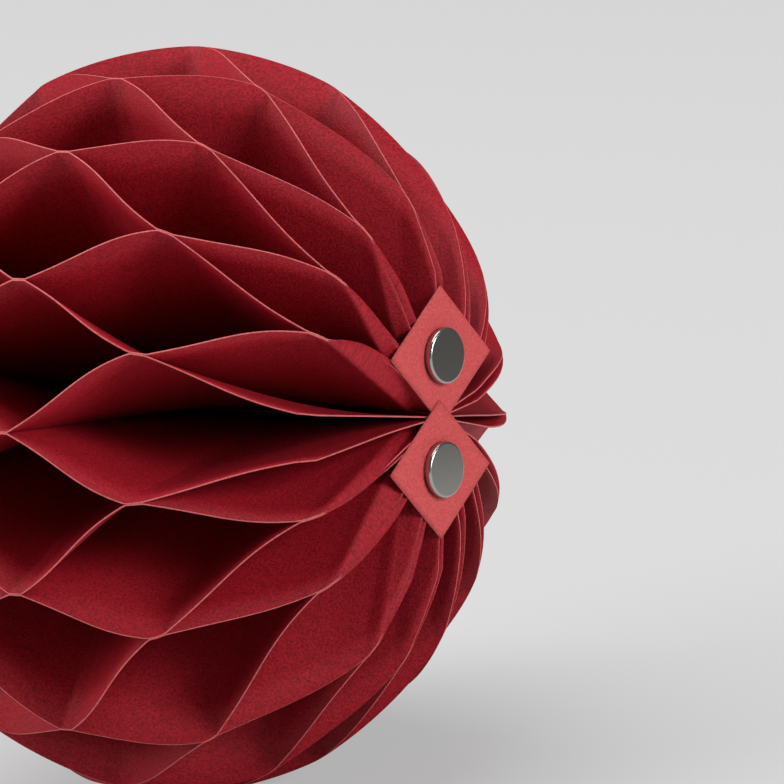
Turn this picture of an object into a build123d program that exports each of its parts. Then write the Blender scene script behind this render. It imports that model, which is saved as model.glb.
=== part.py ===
"""Honeycomb paper ball, lying on its side and closed by four magnet tabs.

Millimetres, +Z up. The ball's own axis runs along X. The closing line, where
the first and the last sheet meet, faces -Y and a little up. It rests on z = 0.
"""

import os
from math import cos, degrees, pi, radians, sin, sqrt, tan

from build123d import *

# Driving dimensions

sheet_count = 32            # loose sheets in the honeycomb, always an even number
paper = 0.25                # thickness of one sheet
ball_radius = 67.0          # from the axis out to the middle glue line
ball_half_length = 55.4     # half length of the full oval the sheets are cut to
tab_stand = 4.6             # from the end of the glue to the tabs at the axis
ends_proud = 3.9            # how far the free ends of the sheets pass the tabs
spine_radius = 2.0          # open core left by the straight inner edges
core_rise = 2.4             # how far the core sits above the middle of the ball
glue_width = 2.4            # width of one glue line
middle_spacing = 21.9       # from the middle glue line to the next one
outer_spacing = 22.1        # from that one to the outermost
wave = 0.2                  # how softly a sheet bends at its glue lines, 0 to 1
card = 0.35                 # thickness of a tab
tab_tall = 24.5             # tab from corner to corner, across the closing line
tab_wide = 28.5             # tab from corner to corner, along the closing line
tab_spacing = 20.0          # between the middles of the two tabs of one end
tab_rise = 3.4              # how far the pair of tabs sits above the middle
tab_lean = 12.5             # degrees the tabs lean towards the closing line
tab_turn = 3.0              # degrees each tab is turned, its back corner up
magnet_diameter = 10.0
magnet_thickness = 1.5
magnet_edge = 0.45          # chamfer around the free face

# Values that follow

step = 2 * pi / sheet_count
glue_heights = (0.0, middle_spacing, middle_spacing + outer_spacing)
end_height = glue_heights[2] + glue_width / 2
pole_height = end_height + tab_stand
flat_height = pole_height + ends_proud
tab_reach = tab_spacing / 2 + tab_rise + tab_tall / 2
neck_reach = 0.28 * tab_reach
lean = radians(tab_lean)


# The outline every sheet is cut to

def oval_radius(height):
    """Distance of the outer edge from the axis at one height along the axis."""
    return ball_radius * sqrt(1 - (height / ball_half_length) ** 2)


def oval_height(radius):
    """Height of the cut end at one distance from the axis, rounded into the flat."""
    oval = ball_half_length * sqrt(1 - (radius / ball_radius) ** 2)
    return (oval ** -20 + flat_height ** -20) ** (-1 / 20)


def tab_plane(side, layer):
    """Height of the underside of the tabs, for a distance towards the back."""
    return pole_height + side * tan(lean) + layer * card / cos(lean)


def end_outline(side, radius, turn, layer):
    """Height of a sheet end: straight to the tabs in front, a free oval behind."""
    outer = oval_radius(end_height)
    reach = neck_reach + (tab_reach - neck_reach) * abs(sin(turn))
    free = oval_height(radius)
    met = min(free, tab_plane(side, layer))
    if radius <= reach:
        return met
    part = (outer - radius) / (outer - reach)
    joint = min(oval_height(reach), tab_plane(side * reach / radius, layer))
    straight = end_height + (joint - end_height) * part
    nearness = min(1.0, max(0.0, 0.5 + cos(turn)))
    resting = free + nearness * (straight - free)
    return resting + part ** 3 * (min(resting, tab_plane(side, layer)) - resting)


# How one sheet swings between its two neighbours

def swing(height):
    """Share of the way from one neighbour (0) to the other (1), and its slope."""
    first = glue_width / 2
    for start, end, falling in (
        (first, glue_heights[1] - first, False),
        (glue_heights[1] + first, glue_heights[2] - first, True),
    ):
        if start < height < end:
            part = (height - start) / (end - start)
            share = part - wave * sin(2 * pi * part) / (2 * pi)
            slope = (1 - wave * cos(2 * pi * part)) / (end - start)
            return (1 - share, -slope) if falling else (share, slope)
    return (1.0, 0.0) if abs(height - glue_heights[1]) <= first else (0.0, 0.0)


def lift(radius):
    """How far a point of a sheet is raised with the core, all of it at the axis."""
    outer = oval_radius(end_height)
    return core_rise * min(1.0, max(0.0, (outer - radius) / (outer - spine_radius)))


def cuts_along_half():
    """Heights of the cross lines of one half, from the middle to the last glue."""
    heights = [0.0]
    for start, end in zip(glue_heights, glue_heights[1:]):
        low = start + glue_width / 2
        high = end - glue_width / 2
        heights += [low + (high - low) * part / 4 for part in range(5)]
    return heights + [end_height]


def end_radii():
    """Distances from the axis where the rounded end of a sheet has its corners."""
    outer = oval_radius(end_height)
    return [outer + (1.15 * spine_radius - outer) * part / 6 for part in range(1, 7)]


def corner(index, height, radius, share, slope, face):
    """One corner of sheet number index, on its lower (0) or upper (1) face."""
    flipped = index % 2
    part = 1 - share if flipped else share
    span = 2 * radius * tan(step / 2)
    thick = paper * sqrt(1 + (slope * (span - paper)) ** 2)
    middle = -span / 2 + paper / 2 + part * (span - paper)
    across = middle + (face - 0.5) * thick
    turn = (index + 0.5) * step
    side = -radius * cos(turn) + across * sin(turn)
    rise = radius * sin(turn) + across * cos(turn) + lift(radius)
    return Vector(height, side, rise)


def cross_line(index, outer, inner, share, slope):
    """The four corners of a cut through the sheet, from outer edge to inner edge."""
    corners = []
    for height, radius in (outer, inner):
        for face in (0, 1):
            corners.append(corner(index, height, radius, share, slope, face))
    return corners


def half_of_cuts(index):
    """All cross lines of one half of a sheet, from the middle to the pole."""
    loose = index in (0, sheet_count - 1)
    lines = []
    for height in cuts_along_half():
        share, slope = swing(height)
        if loose and height > glue_heights[1]:
            share = 0.5 + 0.5 * share
            slope = slope / 2
        radius = oval_radius(height)
        lines.append(cross_line(index, (height, radius), (height, spine_radius), share, slope))
    begin = 0.5 if loose else 0.0
    layer = 1 if index >= sheet_count / 2 else 0
    tips = end_radii()
    for number, radius in enumerate(tips, start=1):
        part = number / len(tips)
        share = begin + (0.5 - begin) * part
        inner = end_height + (pole_height - 1.5 - end_height) * part
        line = cross_line(index, (0.0, radius), (inner, spine_radius), share, 0.0)
        for edge in (0, 1):
            height = end_outline(line[edge].Y, radius, (index + 0.5) * step, layer)
            line[edge] = Vector(height, line[edge].Y, line[edge].Z)
        lines.append(line)
    return lines


def skin(lines):
    """Flat three-cornered faces that close the sheet between its cross lines."""
    faces = []

    def patch(a, b, c, d):
        faces.append(Face(Wire.make_polygon([a, b, c])))
        faces.append(Face(Wire.make_polygon([a, c, d])))

    for near, far in zip(lines, lines[1:]):
        patch(near[0], near[2], far[2], far[0])
        patch(near[1], far[1], far[3], near[3])
        patch(near[0], far[0], far[1], near[1])
        patch(near[2], near[3], far[3], far[2])
    patch(lines[0][0], lines[0][1], lines[0][3], lines[0][2])
    patch(lines[-1][0], lines[-1][2], lines[-1][3], lines[-1][1])
    return faces


def foot_depth():
    """How far the lowest corner of the middle glue lines lies below the axis."""
    depths = []
    for index in range(sheet_count):
        for face in (0, 1):
            point = corner(index, 0, ball_radius, 0, 0, face)
            depths.append(point.Y * sin(step) - point.Z * cos(step))
    return max(depths)


# The ball lies with its closing line turned up by one step, on two glue lines

centre_height = foot_depth()
stance = Location((0, 0, centre_height), (-degrees(step), 0, 0))

os.makedirs("parts", exist_ok=True)

# The sheets, each one folded across its glue lines

for index in range(sheet_count):
    half = half_of_cuts(index)
    mirrored = [[Vector(-p.X, p.Y, p.Z) for p in line] for line in reversed(half[1:])]
    with BuildPart() as sheet:
        with Locations(stance):
            add(Solid(Shell(skin(mirrored + half))))
    sheet.part.label = f"sheet_{index + 1:02d}"
    export_step(sheet.part, f"parts/{sheet.part.label}.step")

# Where the tabs lie: one leaning plane at each end of the ball

ends = (("right", 1), ("left", -1))
tabs = (("upper", 1, 0), ("lower", -1, 1))


def tab_place(end, layer):
    """Plane of the underside of one layer of tabs, its x axis towards the back."""
    origin = Vector(end * tab_plane(0, layer), 0, tab_rise)
    back = Vector(end * sin(lean), cos(lean), 0)
    outward = Vector(end * cos(lean), -sin(lean), 0)
    plane = Plane(origin=origin, x_dir=back, z_dir=outward)
    return Plane(stance * plane.location)


# The diamond tabs, the lower one lapping over the upper one

for end_name, end in ends:
    for tab_name, side, layer in tabs:
        place = tab_place(end, layer)
        middle = side * end * tab_spacing / 2
        with BuildPart() as tab:
            with BuildSketch(place):
                with Locations((0, middle)):
                    Polygon(
                        (-tab_wide / 2, 0),
                        (0, -tab_tall / 2),
                        (tab_wide / 2, 0),
                        (0, tab_tall / 2),
                        rotation=end * tab_turn,
                    )
            extrude(amount=card)
        tab.part.label = f"{tab_name}_tab_{end_name}"
        export_step(tab.part, f"parts/{tab.part.label}.step")

# The disc magnets, one on the middle of each tab

for end_name, end in ends:
    for tab_name, side, layer in tabs:
        place = tab_place(end, layer)
        middle = side * end * tab_spacing / 2
        with BuildPart() as magnet:
            with BuildSketch(place.offset(card)):
                with Locations((0, middle)):
                    Circle(magnet_diameter / 2)
            extrude(amount=magnet_thickness)
            free_face = magnet.faces().sort_by(Axis(place.origin, place.z_dir))[-1]
            chamfer(free_face.edges(), length=magnet_edge)
        magnet.part.label = f"{tab_name}_magnet_{end_name}"
        export_step(magnet.part, f"parts/{magnet.part.label}.step")
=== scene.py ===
from math import cos, pi, radians, sin, sqrt, tan

import bmesh
import bpy
from mathutils import Matrix, Vector


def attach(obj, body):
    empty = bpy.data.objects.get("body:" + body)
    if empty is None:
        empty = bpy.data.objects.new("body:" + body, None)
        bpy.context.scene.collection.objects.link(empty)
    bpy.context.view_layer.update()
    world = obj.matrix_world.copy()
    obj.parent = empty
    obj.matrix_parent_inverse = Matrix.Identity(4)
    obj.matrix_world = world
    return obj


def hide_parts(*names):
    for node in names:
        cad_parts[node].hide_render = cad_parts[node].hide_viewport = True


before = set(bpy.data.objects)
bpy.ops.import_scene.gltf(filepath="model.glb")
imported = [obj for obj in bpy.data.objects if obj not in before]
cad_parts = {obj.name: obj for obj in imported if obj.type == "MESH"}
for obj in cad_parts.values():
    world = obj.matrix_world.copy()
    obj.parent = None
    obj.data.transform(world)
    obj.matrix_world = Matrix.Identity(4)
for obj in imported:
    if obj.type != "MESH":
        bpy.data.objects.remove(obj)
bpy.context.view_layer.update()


# The honeycomb: thirty-two half-oval sheets of heavy red paper, glued to one
# neighbour along two lines and to the other along three, then fanned round
# into a ball. Opened out, every sheet swings from neighbour to neighbour.

sheet_count = 32
paper = 0.00025
ball_radius = 0.067
ball_half_length = 0.0554
tab_stand = 0.0046
ends_proud = 0.0039
core_rise = 0.0024
spine_radius = 0.002
glue_width = 0.0024
glue_heights = (0.0, 0.0219, 0.0440)
wave = 0.2
end_height = glue_heights[2] + glue_width / 2
pole_height = end_height + tab_stand
flat_height = pole_height + ends_proud
step = 2 * pi / sheet_count
card = 0.00035
tab_spacing = 0.020
tab_tall = 0.0245
tab_rise = 0.0034
tab_lean = radians(12.5)
tab_reach = tab_spacing / 2 + tab_rise + tab_tall / 2
neck_share = 0.28
neck_reach = neck_share * tab_reach
oval_squareness = 20
flattening = 0.75


def oval_radius(height):
    return ball_radius * sqrt(1 - (height / ball_half_length) ** 2)


def oval_height(radius):
    oval = ball_half_length * sqrt(1 - (radius / ball_radius) ** 2)
    power = -oval_squareness
    return ((oval * 1000) ** power + (flat_height * 1000) ** power) ** (1 / power) / 1000


def tab_plane(side, layer):
    return pole_height + side * tan(tab_lean) + layer * card / cos(tab_lean)


def end_outline(side, radius, turn, layer):
    outer = oval_radius(end_height)
    reach = neck_reach + (tab_reach - neck_reach) * abs(sin(turn))
    free = oval_height(radius)
    met = min(free, tab_plane(side, layer))
    if radius <= reach:
        return met
    part = (outer - radius) / (outer - reach)
    joint = min(oval_height(reach), tab_plane(side * reach / radius, layer))
    straight = end_height + (joint - end_height) * part
    nearness = min(1.0, max(0.0, 0.5 + cos(turn)))
    resting = free + nearness * (straight - free)
    return resting + part ** 3 * (min(resting, tab_plane(side, layer)) - resting)


def near_radius(height, turn):
    free = oval_radius(height)
    if not glue_heights[1] < height < glue_heights[2]:
        return free
    part = (height - glue_heights[1]) / (glue_heights[2] - glue_heights[1])
    start = oval_radius(glue_heights[1])
    straight = start + (oval_radius(glue_heights[2]) - start) * part
    nearness = min(1.0, max(0.0, 0.5 + cos(turn)))
    return free + flattening * nearness * (straight - free)


def swing(height):
    first = glue_width / 2
    for start, end, falling in (
        (first, glue_heights[1] - first, False),
        (glue_heights[1] + first, glue_heights[2] - first, True),
    ):
        if start < height < end:
            part = (height - start) / (end - start)
            share = part - wave * sin(2 * pi * part) / (2 * pi)
            return 1 - share if falling else share
    return 1.0 if abs(height - glue_heights[1]) <= first else 0.0


def lift(radius):
    outer = oval_radius(end_height)
    return core_rise * min(1.0, max(0.0, (outer - radius) / (outer - spine_radius)))


def place_on_sheet(index, height, radius, share, gathered=0.0):
    part = 1 - share if index % 2 else share
    span = 2 * radius * tan(step / 2)
    across = -span / 2 + paper / 2 + part * (span - paper)
    turn = (index + 0.5) * step + gathered
    side = -radius * cos(turn) + across * sin(turn)
    rise = radius * sin(turn) + across * cos(turn) + lift(radius)
    return Vector((height, side, rise))


def foot_depth():
    depths = []
    for index in range(sheet_count):
        point = place_on_sheet(index, 0, ball_radius, 0)
        depths.append(point.y * sin(step) - point.z * cos(step))
    return max(depths) + paper / 2


centre_height = foot_depth()
stance = Matrix.Translation((0, 0, centre_height)) @ Matrix.Rotation(-step, 4, "X")

# No two cells open quite alike: degrees by which single glue lines have
# strayed from even spacing, and by which the tabs pull sheet ends aside.
middle_strays = {6: -3.2, -2: -1.7, -4: -5.7, -6: -4.0}
second_strays = {1: 1.7, 5: -3.6, 7: -4.3, -1: 0.7, -5: -3.6, -7: -4.0}
last_strays = {
    2: 2.5, 4: -3.2, 6: -7.0, 8: -3.0, 14: 2.1, 16: -2.8,
    -2: 2.7, -4: 5.5, -6: -3.0,
}
gather = {
    1: 21.5, 2: 12.0, 3: 8.0, 4: 2.5,
    -2: -7.0, -3: -2.0, -4: -9.0, -5: -7.4, -6: -11.0, -7: -8.3, -8: -5.0, -9: -2.0,
}


def seam_number(number):
    """Glue lines and sheets counted both ways from the closing line."""
    return number - sheet_count if number > sheet_count / 2 else number


def stray(index, height, share):
    joined = seam_number(index + 1 if index % 2 else index)
    crossed = seam_number(index if index % 2 else index + 1)
    even = middle_strays if height < glue_heights[1] else last_strays
    angle = (1 - share) * even.get(joined, 0.0) + share * second_strays.get(crossed, 0.0)
    return radians(angle)


gathered_radius = 0.017
core_radius = 1.15 * spine_radius
core_clearance = 0.0015
glued_steps = 76
end_steps = 16
steps_to_core = 8


def sheet_line(index, station):
    """Outer and inner point of one cut through the sheet, right half."""
    loose = index in (0, sheet_count - 1)
    if station <= glued_steps:
        height = end_height * station / glued_steps
        share = swing(height)
        if loose and height > glue_heights[1]:
            share = 0.5 + 0.5 * share
        radius = near_radius(height, (index + 0.5) * step)
        turned = stray(index, height, swing(height))
        outer = place_on_sheet(index, height, radius, share, turned)
        inner = place_on_sheet(index, height, spine_radius, share, turned)
        return outer, inner, radius
    height = end_height
    part = (station - glued_steps) / end_steps
    begin = 0.5 if loose else 0.0
    share = begin + (0.5 - begin) * part
    first = oval_radius(end_height)
    radius = first + (core_radius - first) * part
    layer = 1 if index >= sheet_count / 2 else 0
    near_tab = min(1.0, (first - radius) / (first - gathered_radius))
    gathered = radians(gather.get(seam_number(index), 0.0))
    pull = stray(index, height, 0.0) * (1 - near_tab) + gathered * near_tab
    outer = place_on_sheet(index, 0, radius, share, pull)
    outer.x = end_outline(outer.y, radius, (index + 0.5) * step + pull, layer)
    inner_height = end_height + (pole_height - core_clearance - end_height) * part
    inner = place_on_sheet(index, inner_height, spine_radius, share, pull)
    return outer, inner, radius


def paper_material(name, colour, dark, grain):
    material = bpy.data.materials.new(name)
    material.use_nodes = True
    nodes = material.node_tree.nodes
    links = material.node_tree.links
    shader = nodes["Principled BSDF"]
    shader.inputs["Roughness"].default_value = 0.62
    shader.inputs["Specular IOR Level"].default_value = 0.22
    flat = nodes.new("ShaderNodeUVMap")
    flat.uv_map = "flat_sheet"
    fibres = nodes.new("ShaderNodeTexNoise")
    fibres.inputs["Scale"].default_value = 2300
    fibres.inputs["Detail"].default_value = 4
    fibres.inputs["Roughness"].default_value = 0.65
    cloud = nodes.new("ShaderNodeTexNoise")
    cloud.inputs["Scale"].default_value = 700
    cloud.inputs["Detail"].default_value = 3
    links.new(flat.outputs["UV"], fibres.inputs["Vector"])
    links.new(flat.outputs["UV"], cloud.inputs["Vector"])
    blend = nodes.new("ShaderNodeMath")
    blend.operation = "MULTIPLY_ADD"
    blend.inputs[1].default_value = 0.8
    links.new(fibres.outputs["Fac"], blend.inputs[0])
    half = nodes.new("ShaderNodeMath")
    half.operation = "MULTIPLY"
    half.inputs[1].default_value = 0.2
    links.new(cloud.outputs["Fac"], half.inputs[0])
    links.new(half.outputs["Value"], blend.inputs[2])
    tone = nodes.new("ShaderNodeValToRGB")
    tone.color_ramp.elements[0].position = 0.40
    tone.color_ramp.elements[0].color = (*dark, 1)
    tone.color_ramp.elements[1].position = 0.60
    tone.color_ramp.elements[1].color = (*colour, 1)
    links.new(blend.outputs["Value"], tone.inputs["Fac"])
    links.new(tone.outputs["Color"], shader.inputs["Base Color"])
    bump = nodes.new("ShaderNodeBump")
    bump.inputs["Strength"].default_value = grain
    bump.inputs["Distance"].default_value = 0.00016
    links.new(fibres.outputs["Fac"], bump.inputs["Height"])
    links.new(bump.outputs["Normal"], shader.inputs["Normal"])
    return material


red_paper = paper_material("red_paper", (0.385, 0.008, 0.020), (0.19, 0.002, 0.007), 0.8)
cut_edge = paper_material("cut_paper_edge", (0.56, 0.13, 0.13), (0.46, 0.08, 0.08), 0.1)

for index in range(sheet_count):
    half_steps = glued_steps + end_steps
    mesh = bmesh.new()
    bmesh.ops.create_grid(
        mesh,
        x_segments=2 * half_steps,
        y_segments=steps_to_core,
        size=1,
    )
    flat_map = mesh.loops.layers.uv.new("flat_sheet")
    lines = [sheet_line(index, station) for station in range(half_steps + 1)]
    mesh.verts.index_update()
    flat_place = {}
    for vertex in mesh.verts:
        station = round(abs(vertex.co.x) * half_steps)
        depth = (1 - vertex.co.y) / 2
        outer, inner, radius = lines[station]
        point = outer.lerp(inner, depth)
        flat_radius = radius + (spine_radius - radius) * depth
        if vertex.co.x < 0:
            point.x = -point.x
        flat_place[vertex.index] = (point.x + 0.013 * index, flat_radius + 0.31 * index)
        vertex.co = point
    for face in mesh.faces:
        face.smooth = True
        for loop in face.loops:
            loop[flat_map].uv = flat_place[loop.vert.index]
    bmesh.ops.transform(mesh, matrix=stance, verts=mesh.verts)
    name = f"sheet_{index + 1:02d}"
    data = bpy.data.meshes.new(name + "_paper")
    mesh.to_mesh(data)
    mesh.free()
    data.materials.append(red_paper)
    data.materials.append(cut_edge)
    sheet = bpy.data.objects.new(name + "_paper", data)
    bpy.context.collection.objects.link(sheet)
    body = sheet.modifiers.new("paper_thickness", "SOLIDIFY")
    body.thickness = paper
    body.offset = 0
    body.use_even_offset = False
    body.material_offset_rim = 1
    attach(sheet, "root")
    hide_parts(name)


# The diamond tabs: two diamonds of the same paper at each pole, the lower one
# lapped over the upper one, glued to the ends of the sheets beneath them. Their
# red is paler than the sheets' red: painted light and sheen where they face the lamps.

tab_wide = 0.0285
tab_turn = radians(3.0)
ends = (("right", 1), ("left", -1))
tabs = (("upper", 1, 0), ("lower", -1, 1))


def tab_place(end, layer):
    back = Vector((end * sin(tab_lean), cos(tab_lean), 0))
    outward = Vector((end * cos(tab_lean), -sin(tab_lean), 0))
    up = outward.cross(back)
    turn = Matrix((back, up, outward)).transposed().to_4x4()
    origin = Vector((end * tab_plane(0, layer), 0, tab_rise))
    return stance @ Matrix.Translation(origin) @ turn


# Paler red than the sheets: painted light and sheen, standing in for the lamps the tabs
# face.
tab_red_painted_light = paper_material("tab_paper", (0.58, 0.080, 0.082), (0.43, 0.048, 0.052), 0.8)

for end_name, end in ends:
    for tab_name, side, layer in tabs:
        middle = side * end * tab_spacing / 2
        mesh = bmesh.new()
        bmesh.ops.create_grid(mesh, x_segments=16, y_segments=16, size=0.5)
        flat_map = mesh.loops.layers.uv.new("flat_sheet")
        bmesh.ops.rotate(
            mesh, verts=mesh.verts, cent=(0, 0, 0), matrix=Matrix.Rotation(pi / 4, 3, "Z")
        )
        bmesh.ops.scale(
            mesh, verts=mesh.verts, vec=(tab_wide / sqrt(2), tab_tall / sqrt(2), 1)
        )
        bmesh.ops.rotate(
            mesh,
            verts=mesh.verts,
            cent=(0, 0, 0),
            matrix=Matrix.Rotation(end * tab_turn, 3, "Z"),
        )
        for vertex in mesh.verts:
            vertex.co.z = card / 2
        bmesh.ops.translate(mesh, verts=mesh.verts, vec=(0, middle, 0))
        for face in mesh.faces:
            face.smooth = True
            for loop in face.loops:
                loop[flat_map].uv = (loop.vert.co.x + 2 + side * 0.3, loop.vert.co.y + end)
        bmesh.ops.transform(mesh, matrix=tab_place(end, layer), verts=mesh.verts)
        name = f"{tab_name}_tab_{end_name}"
        data = bpy.data.meshes.new(name + "_paper")
        mesh.to_mesh(data)
        mesh.free()
        data.materials.append(tab_red_painted_light)
        data.materials.append(cut_edge)
        tab = bpy.data.objects.new(name + "_paper", data)
        bpy.context.collection.objects.link(tab)
        body = tab.modifiers.new("card_thickness", "SOLIDIFY")
        body.thickness = card
        body.offset = 0
        body.material_offset_rim = 1
        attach(tab, "root")
        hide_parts(name)


# The closing magnets: one nickel-plated disc glued flat on the middle of each
# tab, with a ground face and a rounded, polished rim.

magnet_radius = 0.005
magnet_thickness = 0.0015
magnet_edge = 0.00045

nickel = bpy.data.materials.new("nickel_plate")
nickel.use_nodes = True
nickel_shader = nickel.node_tree.nodes["Principled BSDF"]
nickel_shader.inputs["Base Color"].default_value = (0.45, 0.44, 0.41, 1)
nickel_shader.inputs["Metallic"].default_value = 1
nickel_shader.inputs["Roughness"].default_value = 0.22

for end_name, end in ends:
    for tab_name, side, layer in tabs:
        middle = side * end * tab_spacing / 2
        mesh = bmesh.new()
        bmesh.ops.create_cone(
            mesh,
            cap_ends=True,
            segments=64,
            radius1=magnet_radius,
            radius2=magnet_radius,
            depth=magnet_thickness,
        )
        top_rim = [
            edge for edge in mesh.edges if all(vertex.co.z > 0 for vertex in edge.verts)
        ]
        bmesh.ops.bevel(
            mesh,
            geom=top_rim,
            offset=magnet_edge,
            offset_type="OFFSET",
            affect="EDGES",
            segments=5,
            profile=0.5,
            material=-1,
        )
        bmesh.ops.translate(
            mesh, verts=mesh.verts, vec=(0, middle, card + magnet_thickness / 2)
        )
        for face in mesh.faces:
            face.smooth = len(face.verts) == 4
        bmesh.ops.transform(mesh, matrix=tab_place(end, layer), verts=mesh.verts)
        name = f"{tab_name}_magnet_{end_name}"
        data = bpy.data.meshes.new(name + "_disc")
        mesh.to_mesh(data)
        mesh.free()
        data.materials.append(nickel)
        disc = bpy.data.objects.new(name + "_disc", data)
        bpy.context.collection.objects.link(disc)
        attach(disc, "root")
        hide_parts(name)


# The table: one wide sheet of pale grey studio paper under the ball. Where it
# is looked at, part of its tone is its own, which keeps the shadow soft.

mesh = bmesh.new()
bmesh.ops.create_circle(mesh, cap_ends=True, segments=96, radius=8)
data = bpy.data.meshes.new("studio_floor")
mesh.to_mesh(data)
mesh.free()
floor = bpy.data.objects.new("studio_floor", data)
bpy.context.collection.objects.link(floor)
pale = bpy.data.materials.new("pale_floor")
pale.use_nodes = True
pale_shader = pale.node_tree.nodes["Principled BSDF"]
pale_shader.inputs["Base Color"].default_value = (0.56, 0.56, 0.56, 1)
pale_shader.inputs["Roughness"].default_value = 0.9
pale_shader.inputs["Specular IOR Level"].default_value = 0.1
pale_nodes = pale.node_tree.nodes
pale_links = pale.node_tree.links
seen = pale_nodes.new("ShaderNodeLightPath")
glow = pale_nodes.new("ShaderNodeEmission")
glow.inputs["Color"].default_value = (0.64, 0.64, 0.64, 1)
glow.inputs["Strength"].default_value = 1.0
seen_or_mirrored = pale_nodes.new("ShaderNodeMath")
seen_or_mirrored.operation = "MAXIMUM"
pale_links.new(seen.outputs["Is Camera Ray"], seen_or_mirrored.inputs[0])
pale_links.new(seen.outputs["Is Glossy Ray"], seen_or_mirrored.inputs[1])
seen_at_all = pale_nodes.new("ShaderNodeMath")
seen_at_all.operation = "MAXIMUM"
pale_links.new(seen_or_mirrored.outputs["Value"], seen_at_all.inputs[0])
pale_links.new(seen.outputs["Is Transmission Ray"], seen_at_all.inputs[1])
share_of_glow = pale_nodes.new("ShaderNodeMath")
share_of_glow.operation = "MULTIPLY"
share_of_glow.inputs[1].default_value = 0.58
pale_links.new(seen_at_all.outputs["Value"], share_of_glow.inputs[0])
lit_floor = pale_nodes.new("ShaderNodeMixShader")
pale_links.new(share_of_glow.outputs["Value"], lit_floor.inputs["Fac"])
pale_links.new(pale_shader.outputs["BSDF"], lit_floor.inputs[1])
pale_links.new(glow.outputs["Emission"], lit_floor.inputs[2])
pale_links.new(lit_floor.outputs["Shader"], pale_nodes["Material Output"].inputs["Surface"])
data.materials.append(pale)


# Soft light: one very wide lamp overhead, one low at the front and left, one
# at the right, and a pale surround that fills the rest.

def soft_lamp(name, place, target, size, power):
    lamp = bpy.data.lights.new(name, "AREA")
    lamp.shape = "SQUARE"
    lamp.size = size
    lamp.energy = power
    held = bpy.data.objects.new(name, lamp)
    bpy.context.collection.objects.link(held)
    held.location = place
    aim = Vector(target) - Vector(place)
    held.rotation_euler = aim.to_track_quat("-Z", "Y").to_euler()


soft_lamp("key_lamp", (-0.8, 0.1, 3.0), (0, 0, 0.05), 3.0, 112)
soft_lamp("left_lamp", (-1.8, -1.7, 1.3), (0, 0, 0.07), 1.6, 52)
soft_lamp("right_lamp", (2.7, -0.2, 1.1), (0, 0, 0.08), 1.2, 64)

# A dark card standing beside the ball. It is seen only as the dark reflection
# in the faces of the right-hand magnets.

mesh = bmesh.new()
bmesh.ops.create_grid(mesh, x_segments=1, y_segments=1, size=0.5)
bmesh.ops.scale(mesh, verts=mesh.verts, vec=(0.42, 0.20, 1))
facing = Vector((-0.76, -0.62, 0.0)).to_track_quat("Z", "Y").to_matrix().to_4x4()
bmesh.ops.transform(
    mesh, matrix=Matrix.Translation((0.29, 0.20, 0.101)) @ facing, verts=mesh.verts
)
data = bpy.data.meshes.new("dark_card")
mesh.to_mesh(data)
mesh.free()
dark_card = bpy.data.objects.new("dark_card", data)
bpy.context.collection.objects.link(dark_card)
black = bpy.data.materials.new("dark_card")
black.use_nodes = True
black_shader = black.node_tree.nodes["Principled BSDF"]
black_shader.inputs["Base Color"].default_value = (0.05, 0.05, 0.05, 1)
data.materials.append(black)
dark_card.visible_camera = False
dark_card.visible_diffuse = False
dark_card.visible_shadow = False

surround = bpy.data.worlds.new("studio")
bpy.context.scene.world = surround
surround.use_nodes = True
surround_shader = surround.node_tree.nodes["Background"]
surround_shader.inputs["Color"].default_value = (0.66, 0.66, 0.66, 1)
surround_shader.inputs["Strength"].default_value = 0.18

bpy.context.scene.view_settings.view_transform = "Standard"


# The camera: a long lens a little above the ball, turned to the right-hand
# pole, with the left part of the ball past the edge of the picture.

camera_data = bpy.data.cameras.new("camera")
camera_data.lens = 237.995
camera_data.sensor_width = 36
camera = bpy.data.objects.new("camera", camera_data)
bpy.context.collection.objects.link(camera)
camera.location = (0.433943, -0.800760, 0.266807)
camera.rotation_euler = (1.356406, 0.063587, 0.442084)
bpy.context.scene.camera = camera
